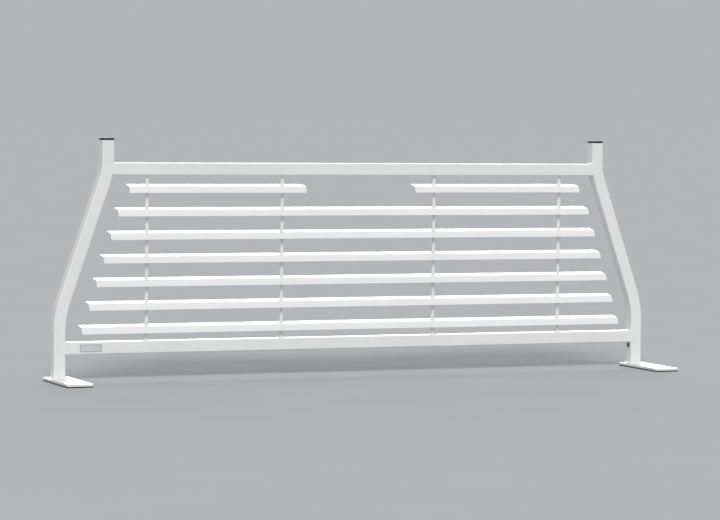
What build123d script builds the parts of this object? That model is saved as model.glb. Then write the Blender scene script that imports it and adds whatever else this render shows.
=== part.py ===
from build123d import *
import os

os.makedirs("parts", exist_ok=True)

# Headache rack for a pickup bed, in millimetres.
# +X is the truck's right, +Y is forward to the cab, +Z is up.
# The origin is on top of the bed rails, midway between the feet and midway along them.

# Square tube of the frame
tube = 31.75
tube_wall = 2.1
tube_corner = 3.2

# Feet: a rubber pad and a slotted steel plate under each upright
pad_thick = 3.0
plate_thick = 6.0
plate_width = 67.0
plate_length = 215.0
plate_corner = 4.0
plate_ahead = 20.0
slot_width = 11.0
slot_length = 44.0
slot_spacing = 78.0
slot_behind = 131.0

# Uprights: vertical legs, an inward slant, vertical tips
foot_x = 822.0
tip_x = 696.0
leg_top = 167.0
slant_top = 532.0
upright_height = 611.0
low_bend = 250.0
high_bend = 180.0

# Rails, measured to their undersides
low_rail_z = 67.0
high_rail_z = 522.4

# Round rods that carry the louvers
rod_dia = 9.5
inner_rod_x = 216.5
outer_rod_x = 587.0

# Louvers: formed sheet hoods, open below and at the ends
sheet = 2.0
louver_rows = 7
louver_pitch = 59.8
louver_low_z = 118.3
louver_height = 22.0
louver_ahead = 17.0
louver_behind = 21.5
louver_drop = 5.5
louver_step = 6.5
louver_bend = 12.0
low_louver_half = 764.0
louver_taper = 18.9
top_louver_half = 640.0
light_gap_half = 155.0

# Small parts
cap_thick = 6.0
cap_round = 2.0
cap_plug_depth = 16.0
cap_plug_play = 0.15
wire_hole_dia = 14.0
wire_hole_below = 9.0
label_width = 58.0
label_height = 19.0
label_thick = 0.5
label_x = -740.0

# Weld beads
fillet_leg = 4.0
seam_radius = 3.8
seam_sunk = 2.8
rod_bead = 5.0
louver_bead = 2.2
bead_root = 1.0

# Derived places
rack_y = plate_length / 2 - plate_ahead
plate_top = pad_thick + plate_thick
slot_y = plate_length / 2 - slot_behind
slot_places = [(0, -slot_spacing / 2), (0, slot_spacing / 2)]
leg_face_x = foot_x - tube / 2
low_rail_top = low_rail_z + tube
high_rail_top = high_rail_z + tube
rod_places = [-outer_rod_x, -inner_rod_x, inner_rod_x, outer_rod_x]
sides = {"left": -1, "right": 1}

# A louver's centreline: front edge, bend and foot, as (forward, up)
louver_front = (louver_ahead, louver_height - sheet / 2)
louver_corner = (sheet / 2 + louver_step - louver_behind, louver_front[1] - louver_drop)
louver_foot = (sheet / 2 - louver_behind, 0)


def finish(node, name):
    node.part.label = name
    export_step(node.part, f"parts/{name}.step")


def louver_half(row):
    if row == louver_rows - 1:
        return top_louver_half
    return low_louver_half - row * louver_taper


def louver_z(row):
    return louver_low_z + row * louver_pitch


# Centreline of an upright, and its section swept along it
def upright_path(side):
    with BuildLine(Plane.XZ.offset(-rack_y)) as path:
        corners = [
            (side * foot_x, plate_top),
            (side * foot_x, leg_top),
            (side * tip_x, slant_top),
            (side * tip_x, upright_height),
        ]
        FilletPolyline(*corners, radius=[low_bend, high_bend])
    return path


def foot_plane(side, height):
    return Plane(origin=(side * foot_x, rack_y, height), z_dir=(0, 0, 1))


def upright_core(side):
    path = upright_path(side)
    with BuildPart() as core:
        with BuildSketch(foot_plane(side, plate_top)):
            RectangleRounded(tube, tube, tube_corner)
        sweep(path=path.line)
    return core.part


cores = {name: upright_core(side) for name, side in sides.items()}

for name, side in sides.items():
    path = upright_path(side)
    hole_plane = Plane(
        origin=(side * leg_face_x, rack_y, low_rail_z - wire_hole_below),
        x_dir=(0, 1, 0),
        z_dir=(1, 0, 0),
    )
    with BuildPart() as upright:
        with BuildSketch(foot_plane(side, plate_top)):
            RectangleRounded(tube, tube, tube_corner)
            RectangleRounded(
                tube - 2 * tube_wall,
                tube - 2 * tube_wall,
                tube_corner - tube_wall,
                mode=Mode.SUBTRACT,
            )
        sweep(path=path.line)
        with BuildSketch(hole_plane):
            Circle(wire_hole_dia / 2)
        extrude(amount=2 * tube_wall, both=True, mode=Mode.SUBTRACT)
    finish(upright, f"upright_{name}")


# Rails: square tube lying along X between the uprights
def rail_plane(z):
    return Plane(origin=(0, rack_y, z + tube / 2), x_dir=(0, 1, 0), z_dir=(1, 0, 0))


def rail_core(half_length, z):
    with BuildPart() as core:
        with BuildSketch(rail_plane(z)):
            RectangleRounded(tube, tube, tube_corner)
        extrude(amount=half_length, both=True)
    return core.part


def rail_section():
    RectangleRounded(tube, tube, tube_corner)
    RectangleRounded(
        tube - 2 * tube_wall,
        tube - 2 * tube_wall,
        tube_corner - tube_wall,
        mode=Mode.SUBTRACT,
    )


with BuildPart() as bottom_rail:
    with BuildSketch(rail_plane(low_rail_z)):
        rail_section()
    extrude(amount=leg_face_x, both=True)
finish(bottom_rail, "bottom_rail")

# The top rail is coped to the bent uprights at both ends
with BuildPart() as top_rail:
    with BuildSketch(rail_plane(high_rail_z)):
        rail_section()
    extrude(amount=tip_x + tube / 4, both=True)
    add(cores["left"], mode=Mode.SUBTRACT)
    add(cores["right"], mode=Mode.SUBTRACT)
finish(top_rail, "top_rail")


# Rods stand between the rails
rod_parts = []
for number, x in enumerate(rod_places, start=1):
    with BuildPart() as rod:
        with BuildSketch(Plane(origin=(x, rack_y, low_rail_top), z_dir=(0, 0, 1))):
            Circle(rod_dia / 2)
        extrude(amount=high_rail_z - low_rail_top)
    rod_parts.append(rod.part)
    finish(rod, f"rod_{number}")


# Louvers: a lip that falls away to the rear, a wide bend and a steep face
def louver(start_x, end_x, row):
    base = louver_z(row)
    with BuildPart() as blade:
        profile_plane = Plane(origin=(start_x, rack_y, base), x_dir=(0, 1, 0), z_dir=(1, 0, 0))
        with BuildSketch(profile_plane):
            with BuildLine():
                FilletPolyline(louver_front, louver_corner, louver_foot, radius=louver_bend)
            trace(line_width=sheet)
        extrude(amount=end_x - start_x)
        # The profile's foot is trimmed level
        foot = Plane(origin=(0, rack_y, base), z_dir=(0, 0, 1))
        split(bisect_by=foot, keep=Keep.TOP)
        # The rods pass through close holes in the lip
        holes = [(x, 0) for x in rod_places if start_x < x < end_x]
        with BuildSketch(foot):
            with Locations(*holes):
                Circle(rod_dia / 2)
        extrude(amount=2 * louver_height, mode=Mode.SUBTRACT)
    return blade


louver_parts = []
for row in range(louver_rows):
    half = louver_half(row)
    number = louver_rows - row
    if row == louver_rows - 1:
        spans = {
            f"louver_{number}_left": (-half, -light_gap_half),
            f"louver_{number}_right": (light_gap_half, half),
        }
    else:
        spans = {f"louver_{number}": (-half, half)}
    for name, (start_x, end_x) in spans.items():
        blade = louver(start_x, end_x, row)
        louver_parts.append(blade.part)
        finish(blade, name)


# Plastic end caps: a rounded head on the tube's end and a plug inside it
plug_size = tube - 2 * tube_wall - 2 * cap_plug_play
for name, side in sides.items():
    mouth = Plane(origin=(side * tip_x, rack_y, upright_height), z_dir=(0, 0, 1))
    with BuildPart() as cap:
        with BuildSketch(mouth):
            RectangleRounded(tube, tube, tube_corner)
        extrude(amount=cap_thick)
        fillet(cap.faces().sort_by(Axis.Z)[-1].edges(), radius=cap_round)
        with BuildSketch(mouth):
            RectangleRounded(plug_size, plug_size, tube_corner - tube_wall)
            offset(amount=-tube_wall, mode=Mode.SUBTRACT)
        extrude(amount=-cap_plug_depth)
    finish(cap, f"end_cap_{name}")


# Feet
def foot_outline(side, height):
    with BuildSketch(Plane(origin=(side * foot_x, 0, height), z_dir=(0, 0, 1))) as outline:
        RectangleRounded(plate_width, plate_length, plate_corner)
        with Locations((0, slot_y)):
            with Locations(*slot_places):
                SlotOverall(slot_length, slot_width, rotation=90, mode=Mode.SUBTRACT)
    return outline.sketch


for name, side in sides.items():
    with BuildPart() as base_plate:
        extrude(foot_outline(side, pad_thick), amount=plate_thick)
    finish(base_plate, f"base_plate_{name}")
    with BuildPart() as rail_pad:
        extrude(foot_outline(side, 0), amount=pad_thick)
    finish(rail_pad, f"rail_pad_{name}")

# Blank identification label on the bottom rail
label_plane = Plane(
    origin=(label_x, rack_y - tube / 2, low_rail_z + tube / 2),
    x_dir=(1, 0, 0),
    z_dir=(0, -1, 0),
)
with BuildPart() as label_plate:
    with BuildSketch(label_plane):
        RectangleRounded(label_width, label_height, 3)
    extrude(amount=label_thick)
finish(label_plate, "label_plate")


# Weld beads. Fillets round the feet:
with BuildPart() as foot_welds:
    for side in sides.values():
        ring = tube + 2 * fillet_leg
        with BuildSketch(foot_plane(side, plate_top)):
            RectangleRounded(ring, ring, tube_corner + fillet_leg)
        extrude(amount=fillet_leg, taper=45)
    for core in cores.values():
        add(core, mode=Mode.SUBTRACT)
finish(foot_welds, "foot_welds")


# Beads laid along straight seams
def bead(start, end, radius):
    run = Vector(*end) - Vector(*start)
    with BuildSketch(Plane(origin=start, z_dir=run)) as section:
        Circle(radius)
    extrude(section.sketch, amount=run.length)


def inner_face_x(z):
    level = Plane(origin=(0, rack_y, z), z_dir=(0, 0, 1))
    cut = cores["right"].intersect(Face.make_rect(4 * foot_x, 4 * tube, level))
    return min(piece.bounding_box().min.X for piece in cut)


low_core = rail_core(leg_face_x, low_rail_z)
high_core = rail_core(tip_x, high_rail_z)
half_seam = tube / 2 - tube_corner
seam_y = tube / 2 - seam_sunk
with BuildPart() as rail_welds:
    for bottom in (low_rail_z, high_rail_z):
        top = bottom + tube
        for side in sides.values():
            low_x = side * inner_face_x(bottom)
            high_x = side * inner_face_x(top)
            bead((low_x, rack_y - half_seam, bottom), (low_x, rack_y + half_seam, bottom), fillet_leg)
            bead((high_x, rack_y - half_seam, top), (high_x, rack_y + half_seam, top), fillet_leg)
            for y in (rack_y - seam_y, rack_y + seam_y):
                bead((low_x, y, bottom + tube_corner), (high_x, y, top - tube_corner), seam_radius)
    for core in (cores["left"], cores["right"], low_core, high_core):
        add(core, mode=Mode.SUBTRACT)
finish(rail_welds, "rail_welds")


# Rings round the rods, rising the given way from a surface
def ring_bead(x, z, leg, way):
    inner = rod_dia / 2
    across = Vector(1, 0, 0)
    with BuildSketch(Plane(origin=(x, rack_y, z), x_dir=across, z_dir=across.cross(way))) as section:
        with BuildLine():
            Polyline(
                (inner - bead_root, -bead_root),
                (inner - bead_root, leg),
                (inner, leg),
                (inner + leg, 0),
                (inner + leg, -bead_root),
                close=True,
            )
        make_face()
    revolve(section.sketch, axis=Axis((x, rack_y, z), way), revolution_arc=360)


with BuildPart() as rod_welds:
    for x in rod_places:
        ring_bead(x, low_rail_top, rod_bead, Vector(0, 0, 1))
        ring_bead(x, high_rail_z, rod_bead, Vector(0, 0, -1))
    for core in [low_core, high_core, *rod_parts]:
        add(core, mode=Mode.SUBTRACT)
finish(rod_welds, "rod_welds")

lip_slope = louver_drop / (louver_front[0] - louver_corner[0])
lip_normal = Vector(0, -lip_slope, 1)
lip_at_rod = louver_front[1] - lip_slope * louver_ahead + sheet / 2
with BuildPart() as louver_welds:
    for row in range(louver_rows):
        lip_top = louver_z(row) + lip_at_rod
        for x in rod_places:
            ring_bead(x, lip_top, louver_bead, lip_normal)
    for blade in [*louver_parts, *rod_parts]:
        add(blade, mode=Mode.SUBTRACT)
finish(louver_welds, "louver_welds")
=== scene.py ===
import math
import random

import bmesh
import bpy
from mathutils import Matrix, Vector


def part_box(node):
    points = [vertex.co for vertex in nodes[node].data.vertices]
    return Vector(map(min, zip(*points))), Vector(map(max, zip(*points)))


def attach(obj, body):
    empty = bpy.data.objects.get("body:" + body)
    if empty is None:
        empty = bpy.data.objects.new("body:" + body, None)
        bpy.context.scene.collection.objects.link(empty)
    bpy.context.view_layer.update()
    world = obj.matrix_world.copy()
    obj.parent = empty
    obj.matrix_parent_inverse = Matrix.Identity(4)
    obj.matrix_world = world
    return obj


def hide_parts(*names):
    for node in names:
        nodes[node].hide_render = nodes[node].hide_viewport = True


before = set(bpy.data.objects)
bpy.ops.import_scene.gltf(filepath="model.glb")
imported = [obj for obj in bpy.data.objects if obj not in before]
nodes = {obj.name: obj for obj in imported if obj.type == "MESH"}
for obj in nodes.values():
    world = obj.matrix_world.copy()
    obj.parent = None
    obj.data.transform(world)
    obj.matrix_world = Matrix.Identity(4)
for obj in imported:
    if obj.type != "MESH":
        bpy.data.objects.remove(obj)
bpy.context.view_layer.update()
scene = bpy.context.scene

MM = 0.001

# The frame's main sizes and places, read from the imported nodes
leg_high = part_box("upright_right")[1]
low_rail, low_rail_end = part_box("bottom_rail")
high_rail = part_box("top_rail")[0]
TUBE = low_rail_end.z - low_rail.z
RACK_Y = (low_rail.y + low_rail_end.y) / 2
PLATE_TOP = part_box("base_plate_right")[1].z
FOOT_X = leg_high.x - TUBE / 2
RODS = [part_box(f"rod_{number}") for number in range(1, 5)]
ROD_XS = [(low.x + high.x) / 2 for low, high in RODS]
ROD_R = (RODS[0][1].x - RODS[0][0].x) / 2

# Small sizes of the frame that the boxes don't give, in metres
TUBE_CORNER = 3.2 * MM
FRAME_BEAD = 3.8 * MM
ROD_BEAD = 5 * MM
LOUVER_BEAD = 2.4 * MM
SEAM_END = 1.8 * MM
SEAM_OFFSET = 1.2 * MM
CROWN = 1.1 * MM
CROWN_TOE = 0.15 * MM
LABEL_CORNER = 3 * MM
FLOOR_SIZE = 400

LOUVERS = [name for name in nodes if name.startswith("louver_") and name != "louver_welds"]


# ---- Materials -------------------------------------------------------------

def new_material(name):
    """A node material: returns it with its tree's nodes, links and shader."""
    made = bpy.data.materials.new(name)
    made.use_nodes = True
    tree = made.node_tree
    return made, tree.nodes, tree.links, tree.nodes["Principled BSDF"]


def object_coords(tree_nodes, links, stretch=(1, 1, 1)):
    coords = tree_nodes.new("ShaderNodeTexCoord")
    mapping = tree_nodes.new("ShaderNodeMapping")
    mapping.inputs["Scale"].default_value = stretch
    links.new(coords.outputs["Object"], mapping.inputs["Vector"])
    return mapping.outputs["Vector"]


def noise(tree_nodes, links, coords, scale, detail=3.0, roughness=0.5):
    texture = tree_nodes.new("ShaderNodeTexNoise")
    texture.inputs["Scale"].default_value = scale
    texture.inputs["Detail"].default_value = detail
    texture.inputs["Roughness"].default_value = roughness
    links.new(coords, texture.inputs["Vector"])
    return texture.outputs["Fac"]


def ramp(tree_nodes, links, factor, stops):
    """A colour ramp with (place, colour) stops, fed by a factor."""
    made = tree_nodes.new("ShaderNodeValToRGB")
    elements = made.color_ramp.elements
    while len(elements) < len(stops):
        elements.new(0.5)
    for element, (place, colour) in zip(elements, stops):
        element.position = place
        element.color = (*colour, 1)
    links.new(factor, made.inputs["Fac"])
    return made.outputs["Color"]


def spread(tree_nodes, links, factor, low, high, start=0.3, end=0.7):
    """A factor moved from start..end into low..high."""
    made = tree_nodes.new("ShaderNodeMapRange")
    made.inputs["From Min"].default_value = start
    made.inputs["From Max"].default_value = end
    made.inputs["To Min"].default_value = low
    made.inputs["To Max"].default_value = high
    links.new(factor, made.inputs["Value"])
    return made.outputs["Result"]


def mix(tree_nodes, links, factor, first, second):
    """The first colour, a socket, moved towards a plain second one by a factor."""
    made = tree_nodes.new("ShaderNodeMix")
    made.data_type = "RGBA"
    links.new(factor, made.inputs["Factor"])
    inputs = {socket.name: socket for socket in made.inputs if socket.type == "RGBA"}
    links.new(first, inputs["A"])
    inputs["B"].default_value = (*second, 1)
    return [socket for socket in made.outputs if socket.type == "RGBA"][0]


def bump(tree_nodes, links, height, strength, distance, under=None):
    made = tree_nodes.new("ShaderNodeBump")
    made.inputs["Strength"].default_value = strength
    made.inputs["Distance"].default_value = distance
    links.new(height, made.inputs["Height"])
    if under is not None:
        links.new(under, made.inputs["Normal"])
    return made.outputs["Normal"]


def powder_coat(name, tint, shade):
    """Gloss white powder coat: orange peel, a faint uneven tone, dust and grit."""
    made, tree_nodes, links, shader = new_material(name)
    plain = object_coords(tree_nodes, links)
    cloud = noise(tree_nodes, links, plain, 6, 5, 0.6)
    colour = ramp(tree_nodes, links, cloud, [(0.35, shade), (0.62, tint)])
    smears = noise(tree_nodes, links, plain, 24, 4, 0.55)
    film = spread(tree_nodes, links, smears, 0, 0.3, 0.4, 0.85)
    dust = tuple(0.95 * value for value in shade)
    colour = mix(tree_nodes, links, film, colour, dust)
    grains = noise(tree_nodes, links, plain, 900, 2, 0.5)
    specks = spread(tree_nodes, links, grains, 0, 0.3, 0.76, 0.82)
    grit = (0.40, 0.38, 0.35)
    links.new(mix(tree_nodes, links, specks, colour, grit), shader.inputs["Base Color"])
    links.new(spread(tree_nodes, links, film, 0.32, 0.38, 0, 0.3), shader.inputs["Roughness"])
    shader.inputs["Coat Weight"].default_value = 0.15
    shader.inputs["Coat Roughness"].default_value = 0.15
    wide_waves = noise(tree_nodes, links, plain, 420, 1)
    wide_peel = bump(tree_nodes, links, wide_waves, 0.12, 0.06 * MM)
    fine_waves = noise(tree_nodes, links, plain, 1300, 2)
    fine_peel = bump(tree_nodes, links, fine_waves, 0.1, 0.03 * MM, wide_peel)
    links.new(fine_peel, shader.inputs["Normal"])
    return made


def moulded_plastic(name):
    """Black cap plastic: fine grain, dusty patches, paler scuffs."""
    made, tree_nodes, links, shader = new_material(name)
    plain = object_coords(tree_nodes, links)
    patches = noise(tree_nodes, links, plain, 60, 4, 0.6)
    stops = [(0.4, (0.012, 0.012, 0.013)), (0.75, (0.05, 0.05, 0.052))]
    colour = ramp(tree_nodes, links, patches, stops)
    links.new(colour, shader.inputs["Base Color"])
    links.new(spread(tree_nodes, links, patches, 0.38, 0.6), shader.inputs["Roughness"])
    grain = noise(tree_nodes, links, plain, 1800, 3, 0.6)
    links.new(bump(tree_nodes, links, grain, 0.6, 0.1 * MM), shader.inputs["Normal"])
    return made


def rubber(name):
    """Matt black rubber with a fine pebbled face and chalky dust."""
    made, tree_nodes, links, shader = new_material(name)
    plain = object_coords(tree_nodes, links)
    patches = noise(tree_nodes, links, plain, 35, 5, 0.65)
    stops = [(0.4, (0.014, 0.014, 0.014)), (0.8, (0.07, 0.068, 0.065))]
    colour = ramp(tree_nodes, links, patches, stops)
    links.new(colour, shader.inputs["Base Color"])
    links.new(spread(tree_nodes, links, patches, 0.7, 0.92), shader.inputs["Roughness"])
    pebbles = noise(tree_nodes, links, plain, 1200, 2)
    links.new(bump(tree_nodes, links, pebbles, 0.8, 0.2 * MM), shader.inputs["Normal"])
    return made


def label_film(name, dark, pale):
    """Satin grey film with a fine lengthwise grain."""
    made, tree_nodes, links, shader = new_material(name)
    plain = object_coords(tree_nodes, links)
    lengthwise = object_coords(tree_nodes, links, (0.05, 1, 1))
    grain = noise(tree_nodes, links, lengthwise, 2600, 3, 0.6)
    links.new(ramp(tree_nodes, links, grain, [(0.35, dark), (0.65, pale)]), shader.inputs["Base Color"])
    patches = noise(tree_nodes, links, plain, 90)
    links.new(spread(tree_nodes, links, patches, 0.3, 0.5), shader.inputs["Roughness"])
    links.new(bump(tree_nodes, links, grain, 0.3, 0.03 * MM), shader.inputs["Normal"])
    return made


PAINT = powder_coat("white_powder_coat", (0.785, 0.79, 0.785), (0.75, 0.755, 0.752))
PAINTS = {
    "upright": PAINT,
    "top_rail": PAINT,
    "bottom_rail": PAINT,
    "base_plate": PAINT,
    "rod": PAINT,
    "louver": PAINT,
    "end_cap": moulded_plastic("cap_plastic"),
    "rail_pad": rubber("pad_rubber"),
}


def paint_cad_nodes():
    for name, node in nodes.items():
        kinds = [kind for kind in PAINTS if name.startswith(kind)]
        if kinds:
            for place in node.material_slots:
                place.link = "OBJECT"
                place.material = PAINTS[kinds[0]]


paint_cad_nodes()


# ---- Edges of the CAD nodes --------------------------------------------------

# How far the powder coat or the mould rounds each kind of edge, in metres
EDGE_WIDTHS = {"louver_": 0.6 * MM, "base_plate": 0.9 * MM, "rail_pad": 0.7 * MM}
SHARP = math.radians(32)
FLAT = math.radians(0.5)
SAME_POINT = 0.01 * MM


def round_edges(node, width):
    """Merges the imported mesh's split points, then bevels its sharp edges."""
    weld = node.modifiers.new("join_points", "WELD")
    weld.merge_threshold = SAME_POINT
    flatten = node.modifiers.new("join_flats", "DECIMATE")
    flatten.decimate_type = "DISSOLVE"
    flatten.angle_limit = FLAT
    bevel = node.modifiers.new("round_edges", "BEVEL")
    bevel.width = width
    bevel.segments = 3
    bevel.limit_method = "ANGLE"
    bevel.angle_limit = SHARP
    bevel.use_clamp_overlap = True
    shade = node.modifiers.new("even_shading", "WEIGHTED_NORMAL")
    shade.keep_sharp = False


for kind, width in EDGE_WIDTHS.items():
    for name, node in nodes.items():
        if name.startswith(kind) and name != "louver_welds":
            round_edges(node, width)


# ---- Weld beads --------------------------------------------------------------

# A bead is a row of overlapping ripples, with rings of points across it.
# Depth, root, end and size are parts of the bead's leg.
RIPPLE_PITCH = 2.2 * MM
RIPPLE_RINGS = 6
RIPPLE_DEPTH = 0.08
RIPPLE_SIZES = (0.9, 1.03)
FEWEST_RIPPLES = 5
CRESCENT = 0.45
CONVEX = 1.9
ACROSS = 8
ROOT = 0.3
END_SIZE = 0.55
SEED = 7


def ripple_height(phase):
    return 1 - RIPPLE_DEPTH * (2 * (phase % 1) - 1) ** 2


def fillet_section(phase, leg):
    """A convex fillet in a corner: its face from toe to toe, then its root."""
    points = []
    for step in range(ACROSS + 1):
        angle = math.pi / 2 * step / ACROSS
        reach = leg * ripple_height(phase + CRESCENT * math.sin(2 * angle))
        points.append((reach * math.cos(angle) ** CONVEX, reach * math.sin(angle) ** CONVEX))
    root = -ROOT * leg
    return points + [(root, leg + root), (root, root), (leg + root, root)]


def crown_section(phase, half_width):
    """A low crown over a flush seam, and its root in the groove."""
    points = []
    for step in range(ACROSS + 1):
        angle = math.pi * step / ACROSS
        rise = CROWN * ripple_height(phase + CRESCENT * math.sin(angle)) * math.sin(angle)
        points.append((half_width * math.cos(angle), rise - CROWN_TOE))
    inner = half_width - TUBE_CORNER
    return points + [(-inner, -TUBE_CORNER), (inner, -TUBE_CORNER)]


def lay_bead(bm, length, corner, section, size, closed):
    """A bead of real length along corner(place), which gives its middle and two legs."""
    ripples = max(FEWEST_RIPPLES, round(length / RIPPLE_PITCH))
    count = ripples * RIPPLE_RINGS
    sizes = [random.uniform(*RIPPLE_SIZES) for _ in range(ripples + 1)]
    if closed:
        sizes[-1] = sizes[0]
    rings = []
    for step in range(count if closed else count + 1):
        ripple = step / RIPPLE_RINGS
        near = sizes[int(ripple)]
        after = sizes[min(int(ripple) + 1, ripples)]
        grown = size * (near + (after - near) * (ripple % 1))
        if not closed:
            from_end = min(ripple, ripples - ripple)
            grown *= END_SIZE + (1 - END_SIZE) * math.sin(math.pi / 2 * min(1, from_end))
        middle, leg_u, leg_v = corner(step / count)
        ring = [bm.verts.new(middle + u * leg_u + v * leg_v) for u, v in section(ripple, grown)]
        rings.append(ring)
    pairs = list(zip(rings, rings[1:]))
    if closed:
        pairs.append((rings[-1], rings[0]))
    else:
        bm.faces.new(rings[0])
        bm.faces.new(rings[-1])
    for ring, following in pairs:
        for here in range(len(ring)):
            there = (here + 1) % len(ring)
            bm.faces.new((ring[here], ring[there], following[there], following[here]))


def finish_beads(bm, name, node):
    bmesh.ops.recalc_face_normals(bm, faces=bm.faces)
    mesh = bpy.data.meshes.new(name)
    bm.to_mesh(mesh)
    bm.free()
    mesh.shade_smooth()
    mesh.materials.append(PAINT)
    beads = bpy.data.objects.new(name, mesh)
    scene.collection.objects.link(beads)
    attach(beads, "root")
    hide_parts(node)


def surface_below(node, x, y, start_z):
    """The height where a plumb line from start_z meets a CAD node."""
    return nodes[node].ray_cast(Vector((x, y, start_z)), Vector((0, 0, -1)))[1].z


def inner_face(node, side, z):
    """Where a level line from the middle of the rack meets an upright."""
    return nodes[node].ray_cast(Vector((0, RACK_Y, z)), Vector((side, 0, 0)))[1].x


def bead_round_rod(bm, x, z, leg, up, slope):
    def corner(place):
        angle = 2 * math.pi * place
        out = Vector((math.cos(angle), math.sin(angle), slope * math.sin(angle)))
        return Vector((x, RACK_Y, z)) + ROD_R * out, out, Vector((0, 0, up))

    length = 2 * math.pi * (ROD_R + leg / 2)
    lay_bead(bm, length, corner, fillet_section, leg, True)


def lay_rod_beads():
    bm = bmesh.new()
    for x, (low, high) in zip(ROD_XS, RODS):
        bead_round_rod(bm, x, low.z, ROD_BEAD, 1, 0)
        bead_round_rod(bm, x, high.z, ROD_BEAD, -1, 0)
    finish_beads(bm, "rippled_rod_welds", "rod_welds")


def lay_louver_beads():
    bm = bmesh.new()
    reach = ROD_R + LOUVER_BEAD
    for name in LOUVERS:
        low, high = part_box(name)
        for x in ROD_XS:
            if low.x < x < high.x:
                beside = x + 2 * reach
                ahead = surface_below(name, beside, RACK_Y + reach, high.z + reach)
                behind = surface_below(name, beside, RACK_Y - reach, high.z + reach)
                slope = (ahead - behind) / (2 * reach)
                bead_round_rod(bm, x, (ahead + behind) / 2, LOUVER_BEAD, 1, slope)
    finish_beads(bm, "rippled_louver_welds", "louver_welds")


def lay_rail_fillet(bm, node, side, edge_z, up):
    """A fillet across the rail, between its top or underside and the upright."""
    start = inner_face(node, side, edge_z)
    further = inner_face(node, side, edge_z + up * FRAME_BEAD)
    along_upright = Vector((further - start, 0, up * FRAME_BEAD)).normalized()
    half = TUBE / 2 - SEAM_END

    def corner(place):
        y = RACK_Y + half * (2 * place - 1)
        return Vector((start, y, edge_z)), Vector((-side, 0, 0)), along_upright

    lay_bead(bm, 2 * half, corner, fillet_section, FRAME_BEAD, False)


def lay_rail_seam(bm, node, side, rail_z, way):
    """A crown up the flush seam on the rail's front or rear."""
    height = TUBE - 2 * SEAM_END

    def corner(place):
        z = rail_z + SEAM_END + height * place
        x = inner_face(node, side, z) + side * SEAM_OFFSET
        return Vector((x, RACK_Y + way * TUBE / 2, z)), Vector((side, 0, 0)), Vector((0, way, 0))

    lay_bead(bm, height, corner, crown_section, FRAME_BEAD, False)


def lay_rail_beads():
    bm = bmesh.new()
    for rail_z in (low_rail.z, high_rail.z):
        for node, side in (("upright_left", -1), ("upright_right", 1)):
            lay_rail_fillet(bm, node, side, rail_z, -1)
            lay_rail_fillet(bm, node, side, rail_z + TUBE, 1)
            lay_rail_seam(bm, node, side, rail_z, -1)
            lay_rail_seam(bm, node, side, rail_z, 1)
    finish_beads(bm, "rippled_rail_welds", "rail_welds")


def rounded_square_point(place, half, corner):
    """The point at 0..1 round a rounded square, and the way out from it."""
    flat = 2 * (half - corner)
    arc = math.pi / 2 * corner
    quarter = place * 4 % 1
    turn = Matrix.Rotation(math.pi / 2 * math.floor(place * 4 % 4), 3, "Z")
    gone = quarter * (flat + arc)
    if gone < flat:
        point, out = Vector((half, gone - flat / 2, 0)), Vector((1, 0, 0))
    else:
        angle = (gone - flat) / corner
        out = Vector((math.cos(angle), math.sin(angle), 0))
        point = Vector((flat / 2, flat / 2, 0)) + corner * out
    return turn @ point, turn @ out


def lay_foot_beads():
    bm = bmesh.new()
    for side in (-1, 1):
        def corner(place):
            point, out = rounded_square_point(place, TUBE / 2, TUBE_CORNER)
            return Vector((side * FOOT_X, RACK_Y, PLATE_TOP)) + point, out, Vector((0, 0, 1))

        lay_bead(bm, 4 * TUBE, corner, fillet_section, FRAME_BEAD, True)
    finish_beads(bm, "rippled_foot_welds", "foot_welds")


random.seed(SEED)
lay_rod_beads()
lay_louver_beads()
lay_rail_beads()
lay_foot_beads()


# ---- Label -------------------------------------------------------------------

def rounded_outline(half_x, half_z, corner, steps=10):
    """Points round a rounded rectangle, as (x, z) from its middle."""
    points = []
    for side_x, side_z, turn in ((1, 1, 0), (-1, 1, 90), (-1, -1, 180), (1, -1, 270)):
        for step in range(steps + 1):
            angle = math.radians(turn + 90 * step / steps)
            x = side_x * (half_x - corner) + corner * math.cos(angle)
            z = side_z * (half_z - corner) + corner * math.sin(angle)
            points.append((x, z))
    return points


def make_label():
    """A blank plate: a raised rim in one finish round a sunk field in another."""
    low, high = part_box("label_plate")
    half_x, half_z = (high.x - low.x) / 2, (high.z - low.z) / 2
    middle = (low + high) / 2
    # How far each outline lies inside the edge and stands off the rail
    outlines = [(0, 0), (0, 0.34), (0.14, 0.45), (1.25, 0.45), (1.45, 0.33)]
    bm = bmesh.new()
    loops = []
    for inset, stand_off in outlines:
        inset *= MM
        points = rounded_outline(half_x - inset, half_z - inset, LABEL_CORNER - inset)
        y = high.y - stand_off * MM
        loops.append([bm.verts.new((middle.x + x, y, middle.z + z)) for x, z in points])
    for number, (loop, following) in enumerate(zip(loops, loops[1:])):
        for here in range(len(loop)):
            there = (here + 1) % len(loop)
            face = bm.faces.new((loop[here], loop[there], following[there], following[here]))
            face.material_index = 0
            face.smooth = number in (0, 1)
    bm.faces.new(loops[0])
    field = bm.faces.new(loops[-1])
    field.material_index = 1
    bmesh.ops.recalc_face_normals(bm, faces=bm.faces)
    mesh = bpy.data.meshes.new("blank_label")
    bm.to_mesh(mesh)
    bm.free()
    mesh.materials.append(label_film("label_rim", (0.26, 0.265, 0.27), (0.33, 0.335, 0.34)))
    mesh.materials.append(label_film("label_field", (0.54, 0.545, 0.55), (0.63, 0.635, 0.64)))
    label = bpy.data.objects.new("blank_label", mesh)
    scene.collection.objects.link(label)
    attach(label, "root")
    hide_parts("label_plate")


make_label()


# ---- Stage, lights and camera ----------------------------------------------

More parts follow.
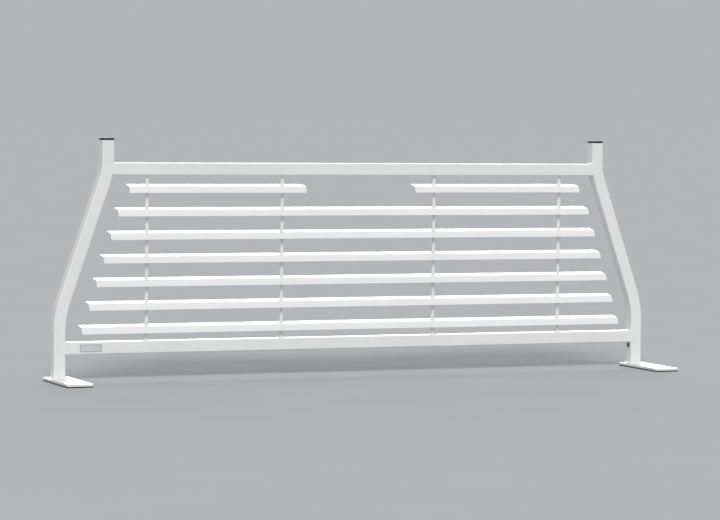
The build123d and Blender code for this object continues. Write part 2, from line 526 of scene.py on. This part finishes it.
# Sky light in each channel, and soft suns by the way they come from, their
# power, colour and width in degrees. The floor's paleness balances them, so
# that far floor and world have one brightness and meet without a line.
SKY = Vector((0.455, 0.468, 0.48))
SUNS = {
    "key": (Vector((-0.28, -0.72, 0.635)).normalized(), 2.0, Vector((1.0, 0.98, 0.95)), 25),
    "front": (Vector((0.3, 0.85, 0.3)).normalized(), 2.3, Vector((0.97, 0.99, 1.0)), 45),
    "right": (Vector((0.95, 0.0, 0.3)).normalized(), 0.55, Vector((1.0, 1.0, 1.0)), 50),
}


def balanced_floor():
    """The floor colour that sends back exactly the sky's own brightness."""
    suns_on_floor = Vector((0, 0, 0))
    for source, power, colour, _ in SUNS.values():
        suns_on_floor += power * source.z / math.pi * colour
    return [sky / (sky + suns) for sky, suns in zip(SKY, suns_on_floor)]


def add_floor():
    bpy.ops.mesh.primitive_plane_add(size=FLOOR_SIZE)
    floor = bpy.context.object
    floor.name = "floor"
    made, tree_nodes, links, shader = new_material("pale_floor")
    cloud = noise(tree_nodes, links, object_coords(tree_nodes, links), 3, 4)
    low = tuple(0.985 * part for part in balanced_floor())
    high = tuple(1.015 * part for part in balanced_floor())
    links.new(ramp(tree_nodes, links, cloud, [(0.3, low), (0.7, high)]), shader.inputs["Base Color"])
    shader.inputs["Roughness"].default_value = 1.0
    shader.inputs["Specular IOR Level"].default_value = 0.0
    floor.data.materials.append(made)


def add_sun(name, source, power, colour, softness):
    data = bpy.data.lights.new(name, "SUN")
    data.energy = power
    data.color = colour
    data.angle = math.radians(softness)
    light = bpy.data.objects.new(name, data)
    scene.collection.objects.link(light)
    light.rotation_euler = source.to_track_quat("Z", "Y").to_euler()


def light_scene():
    world = bpy.data.worlds.new("studio")
    world.use_nodes = True
    background = world.node_tree.nodes["Background"]
    background.inputs["Color"].default_value = (*SKY, 1)
    scene.world = world
    for name, (source, power, colour, softness) in SUNS.items():
        add_sun(name, source, power, colour, softness)


# The viewpoint in metres, its aim in degrees, and the lens on a 36 mm sensor
VIEW_FROM = (-2.997, -7.075, 0.679)
VIEW_TURN = -22.74
VIEW_DOWN = 2.80
VIEW_ROLL = 0.566
VIEW_LENS = 147.4


def add_camera():
    data = bpy.data.cameras.new("camera")
    data.lens = VIEW_LENS
    data.sensor_width = 36
    camera = bpy.data.objects.new("camera", data)
    scene.collection.objects.link(camera)
    turn = Matrix.Rotation(math.radians(VIEW_TURN), 4, "Z")
    tilt = Matrix.Rotation(math.radians(90 - VIEW_DOWN), 4, "X")
    roll = Matrix.Rotation(math.radians(VIEW_ROLL), 4, "Z")
    camera.matrix_world = Matrix.Translation(VIEW_FROM) @ turn @ tilt @ roll
    scene.camera = camera


add_floor()
light_scene()
add_camera()
scene.view_settings.view_transform = "Standard"
scene.view_settings.look = "None"
